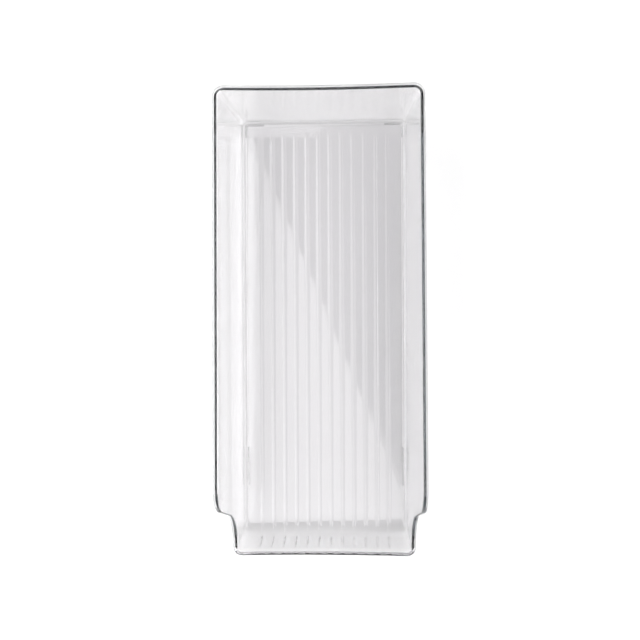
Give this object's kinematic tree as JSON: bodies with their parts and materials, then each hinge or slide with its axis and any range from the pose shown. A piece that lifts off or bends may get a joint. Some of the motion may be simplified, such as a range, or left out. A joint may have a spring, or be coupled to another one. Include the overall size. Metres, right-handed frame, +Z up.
{
  "type": "fridge drawer organizer",
  "caption": "Open clear plastic drawer bin for a fridge shelf: high side walls sweep down to a low front lip, lengthwise ribs line the floor and run up the front wall, foot strips underneath.",
  "frame": {"origin": "on the shelf plane under the feet, below the centre of the bin's outer box", "axes": "+Z up, -Y towards the low front lip, +X towards the bin's right as seen in the picture; the bin is symmetric about X = 0"},
  "size_m": [0.1508, 0.3444, 0.1],
  "materials": {
    "clear_plastic": "water-clear moulding, glossy",
    "clear_soft_plastic": "clear soft plastic, slightly hazy"
  },
  "bodies": {
    "root": {"bin_shell": "clear_plastic", "front_left_foot": "clear_soft_plastic", "front_right_foot": "clear_soft_plastic", "rear_left_foot": "clear_soft_plastic", "rear_right_foot": "clear_soft_plastic"}
  },
  "joints": []
}
